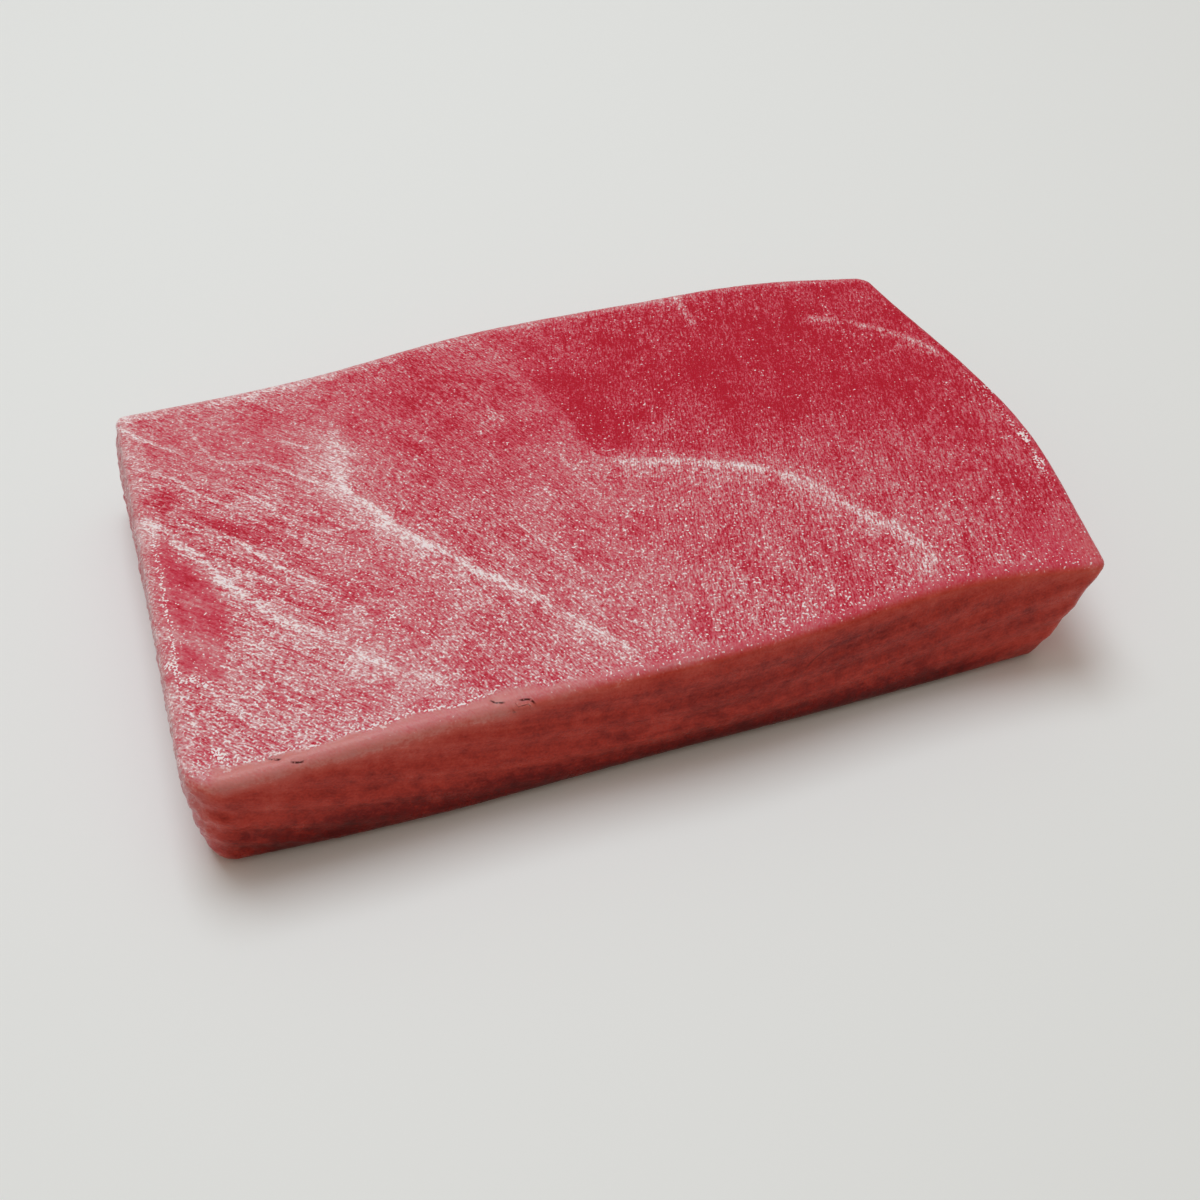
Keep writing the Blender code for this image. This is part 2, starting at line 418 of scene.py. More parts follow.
PATCH_FALL = 1.4


def patch(centre, radii, turn):
    """How much each spot belongs to a soft-edged oval patch, from 0 to 1."""
    off = cut_spots - np.array(centre)
    c, s = math.cos(math.radians(turn)), math.sin(math.radians(turn))
    long_way = (off[:, 0] * c + off[:, 1] * s) / radii[0]
    short_way = (off[:, 1] * c - off[:, 0] * s) / radii[1]
    return np.exp(-((long_way**2 + short_way**2) ** PATCH_FALL))


def ramp(values, start, end):
    """0 at the start value, 1 at the end value, and smooth between."""
    t = np.clip((values - start) / (end - start), 0.0, 1.0)
    return t * t * (3.0 - 2.0 * t)


fat = FAT_IN_MIDDLE + FAT_SLOPE * x + halo
for centre, radii, turn, gain in FAT_PATCHES:
    fat += gain * patch(centre, radii, turn)
lean = np.zeros(len(xyz))
for centre, radii, turn, gain in LEAN_PATCHES:
    lean += gain * patch(centre, radii, turn)
lean_gap = gap_from(smooth_line(LEAN_EDGE), cut_spots)[0]
outline = np.array(GLAZED_PATCH, float)
inside = np.zeros(len(xyz), bool)
for a, b in zip(outline, outline[1:]):
    level_with = (a[1] > cut_spots[:, 1]) != (b[1] > cut_spots[:, 1])
    crossing = a[0] + (cut_spots[:, 1] - a[1]) * (b[0] - a[0]) / (b[1] - a[1])
    inside ^= level_with & (cut_spots[:, 0] < crossing)
glazed_gap = np.abs(gap_from(outline, cut_spots)[0]) * np.where(inside, 1.0, -1.0)
glazed = ramp(glazed_gap, *GLAZED_EDGE)

# The pale edges. Bands of smooth fat lie along the top's edges: an uneven one on the front, wide at
# the left and gone past the middle, and thin ones at the left and the back. Pairs are spans in mm,
# from where a band has faded out to where it is full, counted in from an edge or along X or Y.
FRONT_BAND = 1.2
FRONT_BAND_RIGHT = 0.4
FRONT_BAND_UNEVEN = 1.1
FRONT_BAND_SOFT = 0.4
FRONT_BAND_WIDENS = (-8.0, -24.0)
FRONT_BAND_FADES = (-8.0, -20.0)
FRONT_BAND_CORNER = (1.0, 4.0)
FRONT_BAND_FOOT = (-3.4, 0.6)
FRONT_BAND_FOOT_UNEVEN = 0.8
EDGE_WAVES = ((7.0, 3.0, 1.0), (2.2, 5.0, 0.5))
LEFT_BAND = (2.6, 0.8)
BACK_BAND = (2.2, 0.4)
BACK_BAND_RIGHT = 0.5
BACK_BAND_WHITENS = (-5.0, -35.0)
BACK_RIM_LOSS = 0.8
BACK_RIM = (1.4, 0.2)
RIM_DEPTH = (3.5, 0.5)
BAND_FAT = {"front": 0.1, "left": 0.16, "back": 0.32}
FRONT_BAND_FAT_FROM = (0.0, -20.0)
LEFT_WALL = (2.0, -2.0)
LEFT_WALL_FAT_AND_LIGHT = 0.11
FOOT_DEPTH = (12.0, 22.0)
DARKER_TO_FOOT = 0.12

# The right tip is dulled a little by the same smooth film, in front of a slanting line.
DULL_TIP = 0.45
DULL_TIP_SLANT = 0.3
DULL_TIP_FROM_LEFT = (55.0, 62.0)
DULL_TIP_FROM_BACK = (-30.0, -38.0)

uneven = np.zeros(len(xyz))
for wave_length, seed, wave_height in EDGE_WAVES:
    uneven += wave_height * np.array([noise.noise((value / wave_length, seed, 0.0)) for value in x])
band_width = FRONT_BAND_RIGHT + (FRONT_BAND - FRONT_BAND_RIGHT) * ramp(x, *FRONT_BAND_WIDENS)
band_width += FRONT_BAND_UNEVEN * uneven
band = ramp(from_edge["front"], band_width + FRONT_BAND_SOFT, band_width - FRONT_BAND_SOFT)
band *= ramp(from_edge["front"] + FRONT_BAND_FOOT_UNEVEN * uneven, *FRONT_BAND_FOOT)
band *= ramp(x, *FRONT_BAND_FADES) * ramp(from_edge["left"], *FRONT_BAND_CORNER)
dull_tip = DULL_TIP * ramp(x + DULL_TIP_SLANT * y, *DULL_TIP_FROM_LEFT)
dull_tip *= ramp(y, *DULL_TIP_FROM_BACK) * (1.0 - on_wall)
band = np.maximum(band, dull_tip)

near_top = ramp(depth, *RIM_DEPTH)
left_band = ramp(from_edge["left"], *LEFT_BAND) * near_top
back_band = ramp(from_edge["back"], *BACK_BAND) * near_top
back_band *= BACK_BAND_RIGHT + (1.0 - BACK_BAND_RIGHT) * ramp(x, *BACK_BAND_WHITENS)
lean *= 1.0 - BACK_RIM_LOSS * ramp(from_edge["back"], *BACK_RIM) * near_top
fat += BAND_FAT["front"] * band * ramp(x, *FRONT_BAND_FAT_FROM)
fat += BAND_FAT["left"] * left_band + BAND_FAT["back"] * back_band
# The left end wall is paler, partly fat and partly painted light, and the walls get darker towards the foot.
fat += on_wall * (LEFT_WALL_FAT_AND_LIGHT * ramp(from_edge["left"], *LEFT_WALL) - DARKER_TO_FOOT * ramp(depth, *FOOT_DEPTH))

# Flecks and painted glints. White flecks, partly fat and partly painted highlights, get thicker
# on the ground towards the front left and stand in rows just inside the edges. Glints of light on wet
# grains are painted white on the rows, in a few bright spots and scattered thinly towards the front left.
# Each row has its distance in from its edge and its half width in mm, and its strength.
FLECKS = (0.1, 1.0)
FLECKS_THICKEN = (28.0, -45.0)
FRONT_FLECKS = (0.6, 0.7, 1.3)
FRONT_FLECKS_START = (20.0, -20.0)
LEFT_FLECKS = (1.8, 1.2, 0.9)
RIGHT_FLECKS = (1.0, 0.8, 2.2)
RIGHT_FLECKS_FRONT = (-27.0, -20.0)
RIGHT_FLECKS_BACK = (12.0, 5.0)
BAND_WITHOUT_FLECKS = 0.8
FRONT_GLINTS = (0.3, 0.3, 0.95)
FRONT_GLINTS_RIGHT = (-20.0, -30.0)
FRONT_GLINTS_LEFT = (-70.0, -62.0)
LEFT_GLINTS = (0.7, 0.5, 0.7)
LEFT_GLINTS_BACK = (14.0, 6.0)
LEFT_GLINTS_FRONT = (-32.0, -24.0)
SCATTERED_GLINTS = (0.1, 0.26)
GLINTS_THICKEN = (25.0, -30.0)
TOWARDS_FRONT_LEFT = 0.35
GLAZED_WITHOUT_GLINTS = 0.6
BRIGHT_SPOT_DEPTH = (1.5, 0.7)
# Bright spots of painted glints, each with its middle and its two radii in mm and its turn in degrees.
BRIGHT_SPOTS = [
    ((-71.3, -19.8), (1.6, 0.9), -30),
    ((-68.0, -23.5), (1.3, 0.7), -10),
    ((-66.3, -24.8), (0.9, 0.6), 0),
    ((-66.3, -38.4), (1.0, 1.6), 30),
    ((-65.2, -41.0), (0.8, 1.1), 0),
    ((-42.5, -40.2), (0.8, 0.6), 0),
    ((73.4, 2.5), (2.0, 0.9), -80),
    ((73.2, -10.5), (2.0, 0.9), -100),
    ((72.4, -17.0), (1.8, 0.8), -100),
]


def row_in(inwards, row):
    """How much each spot lies in a row that runs along an edge, a distance in from it."""
    distance, half_width, strength = row
    return strength * np.exp(-(((inwards - distance) / half_width) ** 2))


behind_band = from_edge["front"] - band_width
diagonal = x * TOWARDS_FRONT_LEFT + y
flecks = FLECKS[0] + (FLECKS[1] - FLECKS[0]) * ramp(diagonal, *FLECKS_THICKEN)
right_flecks = row_in(from_edge["right"], RIGHT_FLECKS)
right_flecks *= ramp(y, *RIGHT_FLECKS_FRONT) * ramp(y, *RIGHT_FLECKS_BACK)
flecks = np.maximum(flecks, row_in(behind_band, FRONT_FLECKS) * ramp(x, *FRONT_FLECKS_START))
flecks = np.maximum(flecks, row_in(from_edge["left"], LEFT_FLECKS))
flecks = np.maximum(flecks, right_flecks)
flecks *= 1.0 - BAND_WITHOUT_FLECKS * band

painted_glints = row_in(behind_band, FRONT_GLINTS) * ramp(x, *FRONT_GLINTS_RIGHT) * ramp(x, *FRONT_GLINTS_LEFT)
left_glints = row_in(from_edge["left"], LEFT_GLINTS)
left_glints *= ramp(y, *LEFT_GLINTS_BACK) * ramp(y, *LEFT_GLINTS_FRONT)
painted_glints = np.maximum(painted_glints, left_glints)
for centre, radii, turn in BRIGHT_SPOTS:
    painted_glints = np.maximum(painted_glints, patch(centre, radii, turn) * ramp(depth, *BRIGHT_SPOT_DEPTH))
scattered = SCATTERED_GLINTS[0]
scattered += (SCATTERED_GLINTS[1] - SCATTERED_GLINTS[0]) * ramp(diagonal, *GLINTS_THICKEN)
scattered *= 1.0 - GLAZED_WITHOUT_GLINTS * glazed
painted_glints = np.maximum(painted_glints, scattered * (1.0 - band) * (1.0 - on_wall))

# Smooth skin. The glazed patch, the pale band, the rims and two soft patches on the top show hardly
# any grain, because a film of fat and juice fills it.
GLAZED_SKIN = 0.66
BAND_SKIN = 0.85
FRONT_RIM_SKIN = 0.75
FRONT_RIM = (1.0, 0.0)
END_RIM_SKIN = 0.5
END_RIM = (0.8, -0.4)
SKIN_PATCHES = [
    ((-58, 27), (20, 11), -20, 0.45),
    ((67, -36), (7, 7), 0, 0.6),
]

smooth_skin = np.maximum(glazed * GLAZED_SKIN, BAND_SKIN * band)
smooth_skin = np.maximum(smooth_skin, FRONT_RIM_SKIN * ramp(from_edge["front"], *FRONT_RIM))
nearest_end = np.minimum(np.minimum(from_edge["left"], from_edge["right"]), from_edge["back"])
smooth_skin = np.maximum(smooth_skin, END_RIM_SKIN * ramp(nearest_end, *END_RIM))
for centre, radii, turn, gain in SKIN_PATCHES:
    smooth_skin = np.maximum(smooth_skin, gain * patch(centre, radii, turn))

# Relief. The sinews stand a little proud and the fibres make low ridges along their own way, which
# turns from slanting at the left to steep at the right. The knife left small rags on the walls, the
# longest at the left end, and a few nicks in the front edge, shallow dents with painted shade in them.
# One crease in the front wall has no relief: it is only painted shade.
FIBRE_TURNS = (-42.0, -62.0, 78.0)
FIBRE_TURNS_CHANGE = ((-52.0, -22.0), (-17.0, 18.0))
FIBRE_RELIEF = 0.16
FIBRE_LENGTH = 9.0
FIBRE_PITCH = 1.6
RAGS = 0.14
LEFT_RAGS = 0.4
LEFT_RAGS_FROM = (1.0, -0.5)
RAGS_ABOVE_FOOT = (0.0, 3.0)
RAG_LENGTH = 1.3
NICKS = [
    [(-59.6, -40.9), (-58.6, -41.3), (-57.8, -41.5)],
    [(-56.6, -42.4), (-55.6, -42.6), (-54.6, -42.7)],
    [(-27.2, -39.9), (-26.2, -40.5), (-25.2, -40.8)],
    [(-24.4, -41.8), (-23.4, -42.4), (-22.2, -42.5)],
    [(-23.2, -40.9), (-21.6, -41.0), (-20.8, -41.8)],
]
NICK_ENDS = 0.2
NICK_SIDES = (1.2, 0.6)
NICK_DEPTH = 0.3
NICK_FLOOR = 0.5
NICKS_ABOVE = (2.0, 1.0)
FAR_FROM_NICKS = 9.0
CREASE = [(21.7, 13.4), (24.1, 15.5), (26.7, 17.4)]
CREASE_SHADE = 0.6
CREASE_ENDS = 0.3
CREASE_SIDES = (1.5, 0.8)

weights = [ramp(x, *change) for change in FIBRE_TURNS_CHANGE]
weights = [1.0 - weights[0], weights[0] * (1.0 - weights[1]), weights[1]]
ridges = np.zeros(len(xyz))
for turn, weight in zip(FIBRE_TURNS, weights):
    c, s = math.cos(math.radians(turn)), math.sin(math.radians(turn))
    long_way = (x * c + y * s) / FIBRE_LENGTH
    short_way = (y * c - x * s) / FIBRE_PITCH
    for index in np.nonzero(weight > 0.0)[0]:
        spot = (long_way[index], short_way[index], xyz[index, 2] / FIBRE_LENGTH)
        ridges[index] += weight[index] * noise.noise(spot)

# Each nick's strength sets its dent and its painted shade; the crease gets only painted shade.
nick_gap = np.full(len(xyz), FAR_FROM_NICKS)
nick = np.zeros(len(xyz))
for points in NICKS:
    gap, along = gap_from(smooth_line(points), xyz[:, :2])
    nearer = np.abs(gap) < np.abs(nick_gap)
    nick_gap[nearer] = gap[nearer]
    torn_open = ramp(np.minimum(along, 1.0 - along), 0.0, NICK_ENDS) * ramp(depth, *NICKS_ABOVE)
    nick[nearer] = (torn_open * ramp(np.abs(gap), *NICK_SIDES))[nearer]

crease_gap, along = gap_from(smooth_line(CREASE), xyz[:, [0, 2]])
crease_shade = CREASE_SHADE * ramp(np.minimum(along, 1.0 - along), 0.0, CREASE_ENDS)
crease_shade *= ramp(np.abs(crease_gap), *CREASE_SIDES)
on_front = (from_edge["front"] < 0.0) & (np.abs(crease_gap) < np.abs(nick_gap))
nick_gap[on_front] = crease_gap[on_front]
nick[on_front] = crease_shade[on_front]

lift = sinew * SINEW_RELIEF + ridges * FIBRE_RELIEF * (1.0 - smooth_skin)
lift -= NICK_DEPTH * nick * ramp(np.abs(nick_gap), NICK_FLOOR, 0.0)
lift *= 1.0 - on_wall
rags = np.array([noise.noise(Vector(p) / RAG_LENGTH) for p in xyz])
outward = np.array([(*v.normal.xy, 0.0) for v in flesh_data.vertices])
push = RAGS + (LEFT_RAGS - RAGS) * ramp(from_edge["left"], *LEFT_RAGS_FROM)
push *= rags * on_wall * ramp(grid[:, 2], *RAGS_ABOVE_FOOT)
xyz[:, 2] += lift
xyz += outward * push[:, None]

places = xyz * MM
places[:, :2] -= middle[:2]
flesh_data.vertices.foreach_set("co", places.ravel())

# The front wall. It is a long cut along the grain, and its colours are the flesh's red darkened and
# browned by painted shade, browner than the top. Its rim is paler, partly fat and partly painted light,
# and its foot is a dark painted shade that takes up to half its height at the left. Both of its ends
# are lighter, with less painted shade.
# Spans along X are in mm, and those up the wall are shares of its height.
NEARLY_LEVEL = 0.01
FACING_FRONT = (0.1, 1.0)
WALL_STARTS = (0.0, 0.9)
LEVEL_TONE = 0.48
DARK_FOOT = 0.3
DARK_FOOT_LEFT = 0.24
DARK_FOOT_RISES = (0.0, -60.0)
DARK_FOOT_FALL = 1.4
DARKER_RIGHT = 0.1
DARKER_RIGHT_FROM = (-40.0, 20.0)
PALE_RIM = 0.28
PALE_RIM_LEFT = 0.14
PALE_RIM_LEFT_FROM = (0.0, -30.0)
PALE_RIM_HEIGHT = (0.8, 1.0)
PALE_SPOT = 0.12
PALE_SPOT_MIDDLE = -38.0
PALE_SPOT_HALF_WIDTH = 12.0
PALE_SPOT_HEIGHT = (0.55, 0.9)
LEFT_FOOT_TONE = 0.34
LEFT_FOOT_FROM = (-60.0, -72.0)
LEFT_FOOT_HEIGHT = (0.7, 0.0)
LEFT_CORNER_TONE = 0.2
LEFT_CORNER_FROM = (-66.0, -73.0)
RIGHT_TONE = 0.1
RIGHT_FROM = (40.0, 62.0)
RIGHT_FOOT_TONE = 0.3
RIGHT_FOOT_FROM = (36.0, 66.0)
RIGHT_FOOT_HEIGHT = (0.5, 0.0)

# Only the walls that face the front take the wall's colours, the flesh's red with painted shade.
facing = -outward[:, 1] / np.maximum(np.linalg.norm(outward, axis=1), NEARLY_LEVEL)
shaded_front_wall = ramp(facing, *FACING_FRONT) * ramp(depth, *WALL_STARTS)
# Painted shade: the tone falls towards the foot, over up to half the wall's height at the left.
dark_foot = DARK_FOOT + DARK_FOOT_LEFT * ramp(x, *DARK_FOOT_RISES)
wall_tone_and_shade = LEVEL_TONE * np.clip(level / dark_foot, 0.0, 1.0) ** DARK_FOOT_FALL
wall_tone_and_shade -= DARKER_RIGHT * ramp(x, *DARKER_RIGHT_FROM)
# A paler rim at the top of the wall, partly fat and partly painted light.
pale_rim = PALE_RIM + PALE_RIM_LEFT * ramp(x, *PALE_RIM_LEFT_FROM)
wall_tone_and_shade += pale_rim * ramp(level, *PALE_RIM_HEIGHT)
pale_spot = PALE_SPOT * np.exp(-(((x - PALE_SPOT_MIDDLE) / PALE_SPOT_HALF_WIDTH) ** 2))
wall_tone_and_shade += pale_spot * ramp(level, *PALE_SPOT_HEIGHT)
# Less painted shade at both ends, whose feet and corners are painted lighter.
wall_tone_and_shade += LEFT_FOOT_TONE * ramp(x, *LEFT_FOOT_FROM) * ramp(level, *LEFT_FOOT_HEIGHT)
wall_tone_and_shade += LEFT_CORNER_TONE * ramp(x, *LEFT_CORNER_FROM) + RIGHT_TONE * ramp(x, *RIGHT_FROM)
wall_tone_and_shade += RIGHT_FOOT_TONE * ramp(x, *RIGHT_FOOT_FROM) * ramp(level, *RIGHT_FOOT_HEIGHT)

# Bundles of fibres show as streaks, most of all at the left, where the knife ran along them.
STREAKS = 0.6
STREAKS_LEFT = 0.25
STREAKS_LEFT_FROM = (-10.0, -40.0)
STREAKS_PATCH = ((-56, 4), (15, 18), -30, 0.6)

streaks = STREAKS + STREAKS_LEFT * ramp(x, *STREAKS_LEFT_FROM)
streaks += STREAKS_PATCH[3] * patch(*STREAKS_PATCH[:3])
layers = (places[:, 2] - LAYER_SAG * (x * MM - LAYER_LOW_X) ** 2) / MM
marks = {
    "fat": fat,
    "sinew_gap": sinew_gap,
    "sinew_white": sinew_white,
    "lean": lean,
    "lean_gap": lean_gap,
    "flecks": flecks,
    "painted_glints": painted_glints,
    "streaks": streaks,
    "smooth_skin": smooth_skin,
    "glazed": glazed * GLAZED_LEAN,
    "shaded_front_wall": shaded_front_wall,
    "band": band,
    "layers": layers,
    "nick": nick,
    "nick_gap": nick_gap,
    "wall_tone_and_shade": wall_tone_and_shade,
}
for name, values in marks.items():
    layer = flesh_data.attributes.new(name, "FLOAT", "POINT")
    layer.data.foreach_set("value", values.astype(np.float32))
flesh_data.attributes.remove(flesh_data.attributes["unbent"])
flesh_data.update()

# Raw tuna flesh: wet, faintly see-through muscle full of fine fat. The cut face is granular, with
# short pale dashes along the fibres and white flecks, and it turns from lean red to fatty pink.
# A film of juice, with an index of refraction close to water's, gives it a wet, uneven gloss.
material = bpy.data.materials.new("raw_fatty_tuna_flesh")
material.use_nodes = True
tree = material.node_tree
shader = tree.nodes["Principled BSDF"]

plus = {"operation": "ADD"}
minus = {"operation": "SUBTRACT"}
times = {"operation": "MULTIPLY"}
over = {"operation": "DIVIDE"}
times_plus = {"operation": "MULTIPLY_ADD"}
without_sign = {"operation": "ABSOLUTE"}
smooth = {"interpolation_type": "SMOOTHSTEP"}


def srgb(code):
    """A hex colour as linear RGBA."""
    channels = [int(code[i : i + 2], 16) / 255.0 for i in (0, 2, 4)]
    return [c / 12.92 if c <= 0.04045 else ((c + 0.055) / 1.055) ** 2.4 for c in channels] + [1.0]


def add(kind, settings=None, **inputs):
    """A node with its settings. An input is a value, or a node or an output to link from."""
    node = tree.nodes.new(kind)
    for key, value in (settings or {}).items():
        setattr(node, key, value)
    for key, value in inputs.items():
        socket = node.inputs[int(key[1:])] if key[0] == "_" else node.inputs[key.replace("_", " ")]
        if isinstance(value, bpy.types.Node):
            value = value.outputs[0]
        if isinstance(value, bpy.types.NodeSocket):
            tree.links.new(value, socket)
        else:
            socket.default_value = value
    return node


coords = add("ShaderNodeTexCoord").outputs["Object"]
split = add("ShaderNodeSeparateXYZ", Vector=coords)
mark = {}
for name in marks:
    mark[name] = add("ShaderNodeAttribute", {"attribute_name": name}).outputs["Fac"]

# Bundles of fibres and dashes of fat, by length and width, are drawn out along the fibres' way in the
# block's left, middle and right parts, and clusters gather them. Real grains of fat are about 0.1 mm
# across, too fine to show, so they are drawn at 0.36 mm.
BUNDLE = (11.0 * MM, 1.2 * MM, 3.0)
DASH = (0.9 * MM, 0.3 * MM, 2.0)
HEIGHT_BY_WIDTH = 2.5
CLUSTER_SIZE = 6.5 * MM
GRAIN_SIZE = 0.36 * MM
changes = []
for start, end in FIBRE_TURNS_CHANGE:
    ends = {"From_Min": start * MM - middle[0], "From_Max": end * MM - middle[0]}
    changes.append(add("ShaderNodeMapRange", smooth, Value=split.outputs["X"], **ends))
fibres = []
for long_way, short_way, detail in (BUNDLE, DASH):
    cell = (long_way, short_way, short_way * HEIGHT_BY_WIDTH)
    drawn = []
    for turn in FIBRE_TURNS:
        about_z = {"rotation_type": "Z_AXIS"}
        turned = add("ShaderNodeVectorRotate", about_z, Vector=coords, Angle=math.radians(-turn))
        scaled = add("ShaderNodeVectorMath", over, _0=turned, _1=cell)
        drawn.append(add("ShaderNodeTexNoise", Vector=scaled, Scale=1.0, Detail=detail, Roughness=0.6))
    blend = drawn[0]
    for change, other in zip(changes, drawn[1:]):
        blend = add("ShaderNodeMix", Factor=change, _2=blend.outputs[0], _3=other.outputs[0])
    fibres.append(blend)
bundles, dashes = fibres
clusters = add("ShaderNodeTexNoise", Vector=coords, Scale=1.0 / CLUSTER_SIZE, Detail=4.0, Roughness=0.7)
grains = add("ShaderNodeTexNoise", Vector=coords, Scale=1.0 / GRAIN_SIZE, Detail=0.0, Roughness=0.5)

# Fat between the fibres, from 0 for lean red up to the palest. Lean flesh and smooth skin show less
# of each pattern than fatty flesh does.
DASH_GAIN = 2.5
CLUSTER_GAIN = 1.15
GRAIN_GAIN = 0.8
LEAN_GAIN = {"From_Min": 0.05, "From_Max": 0.5, "To_Min": 0.6, "To_Max": 1.0}
SKIN_GAIN = {"To_Min": 1.0, "To_Max": 0.12}
fat_gain = add("ShaderNodeMapRange", Value=mark["fat"], **LEAN_GAIN)
skin_gain = add("ShaderNodeMapRange", Value=mark["smooth_skin"], **SKIN_GAIN)
pattern_gain = add("ShaderNodeMath", times, _0=fat_gain, _1=skin_gain)
marbling = mark["fat"]
patterns = (bundles, dashes, clusters, grains)
gains = (mark["streaks"], DASH_GAIN, CLUSTER_GAIN, GRAIN_GAIN)
for pattern, gain in zip(patterns, gains):
    centred = add("ShaderNodeMath", minus, _0=pattern.outputs[0], _1=0.5)
    scaled = add("ShaderNodeMath", times, _0=centred, _1=gain)
    marbling = add("ShaderNodeMath", times_plus, _0=scaled, _1=pattern_gain, _2=marbling)

# A web of fine fat lines runs along the fibres and around the clusters of bundles.
BUNDLE_WEB = (0.03, 0.18)
CLUSTER_WEB = (0.02, 0.16)
for pattern, (line_width, gain) in ((bundles, BUNDLE_WEB), (clusters, CLUSTER_WEB)):
    off_line = add("ShaderNodeMath", minus, _0=pattern.outputs[0], _1=0.5)
    off_line = add("ShaderNodeMath", without_sign, _0=off_line)
    line = add("ShaderNodeMapRange", Value=off_line, From_Min=line_width, From_Max=0.0, To_Max=gain)
    marbling = add("ShaderNodeMath", times_plus, _0=line, _1=pattern_gain, _2=marbling)

# The lean part starts at its ragged edge, and the glazed patch at the left is lean too.
DASH_RAGS = 1.2
CLUSTER_RAGS = 9.0
LEAN_STARTS = {"From_Min": 3.7, "From_Max": 5.3}
ragged = add("ShaderNodeMath", times_plus, _0=dashes.outputs[0], _1=DASH_RAGS, _2=-DASH_RAGS / 2.0)
ragged = add("ShaderNodeMath", times_plus, _0=clusters.outputs[0], _1=CLUSTER_RAGS, _2=ragged)
lean_side = add("ShaderNodeMath", plus, _0=mark["lean_gap"], _1=ragged)
lean_side = add("ShaderNodeMapRange", smooth, Value=lean_side, **LEAN_STARTS)
lean_part = add("ShaderNodeMath", times, _0=lean_side, _1=mark["lean"])
marbling = add("ShaderNodeMath", minus, _0=marbling, _1=lean_part)
marbling = add("ShaderNodeMath", minus, _0=marbling, _1=mark["glazed"])

# Sinews are threads whose sides are frayed, and whose whiteness is broken up, by the dashes.
SINEW_FRAY = 1.4
SINEW_SIDES = {"From_Min": 1.5, "From_Max": 0.2}
SINEW_BROKEN = (0.7, 0.6)
frayed = add("ShaderNodeMath", times_plus, _0=dashes.outputs[0], _1=SINEW_FRAY, _2=-SINEW_FRAY / 2.0)
frayed = add("ShaderNodeMath", plus, _0=mark["sinew_gap"], _1=frayed)
frayed = add("ShaderNodeMath", without_sign, _0=frayed)
thread = add("ShaderNodeMapRange", smooth, Value=frayed, **SINEW_SIDES)
broken = add("ShaderNodeMath", times_plus, _0=dashes.outputs[0], _1=SINEW_BROKEN[0], _2=SINEW_BROKEN[1])
thread = add("ShaderNodeMath", times, _0=thread, _1=broken)
marbling = add("ShaderNodeMath", times_plus, _0=thread, _1=mark["sinew_white"], _2=marbling)

# White flecks, partly fat and partly painted highlights, one to a few grains across, gather along the
# bundles.
FLECK_STARTS = {"To_Min": 0.86, "To_Max": 0.7}
FLECK_SOFT = 0.06
FLECK_WHITE = 0.5
ALONG_BUNDLES = 0.3
fleck_start = add("ShaderNodeMapRange", {"clamp": False}, Value=mark["flecks"], **FLECK_STARTS)
fleck_end = add("ShaderNodeMath", plus, _0=fleck_start, _1=FLECK_SOFT)
gathered = add("ShaderNodeMath", times_plus, _0=bundles.outputs[0], _1=ALONG_BUNDLES, _2=grains.outputs[0])
gathered = add("ShaderNodeMath", minus, _0=gathered, _1=ALONG_BUNDLES / 2.0)
fleck = add("ShaderNodeMapRange", smooth, Value=gathered, From_Min=fleck_start, From_Max=fleck_end)
fleck = add("ShaderNodeMath", times, _0=fleck, _1=skin_gain)
marbling = add("ShaderNodeMath", times_plus, _0=fleck, _1=FLECK_WHITE, _2=marbling)

# Painted glints: highlights on wet single grains, painted white all over into the colour.
GLINT_GAIN = 0.46
GLINT_STARTS = {"From_Min": 0.82, "From_Max": 0.9}
painted_glint = add("ShaderNodeMath", times_plus, _0=mark["painted_glints"], _1=GLINT_GAIN, _2=grains.outputs[0])
painted_glint = add("ShaderNodeMapRange", smooth, Value=painted_glint, **GLINT_STARTS)
marbling = add("ShaderNodeMath", plus, _0=marbling, _1=painted_glint)

# The colours of the cut face run from lean red to white fat. The front wall's are the same flesh with
# painted shade, from the dark brown-red painted shade of its foot to the dull pink of its rim, partly
# painted light.
TOP_TONES = (
    (0.0, "B40E2C"),
    (0.2, "C63A52"),
    (0.4, "CC6472"),
    (0.6, "D09097"),
    (0.8, "E2BDC4"),
    (1.0, "F3E9EE"),
)
SHADED_WALL_TONES = (
    (0.0, "5C0604"),
    (0.2, "7E120A"),
    (0.5, "B8382A"),
    (0.8, "CE5648"),
    (1.0, "DC8A82"),
)
PALEST = 1.25
colours = []
for tones in (TOP_TONES, SHADED_WALL_TONES):
    colours.append(add("ShaderNodeValToRGB"))
    stops = colours[-1].color_ramp.elements
    while len(stops) < len(tones):
        stops.new(0.5)
    for stop, (position, code) in zip(stops, tones):
        stop.position = position
        stop.color = srgb(code)
top_colour, shaded_wall_colour = colours
paleness = add("ShaderNodeMath", {"operation": "DIVIDE", "use_clamp": True}, _0=marbling, _1=PALEST)
tree.links.new(paleness.outputs[0], top_colour.inputs[0])

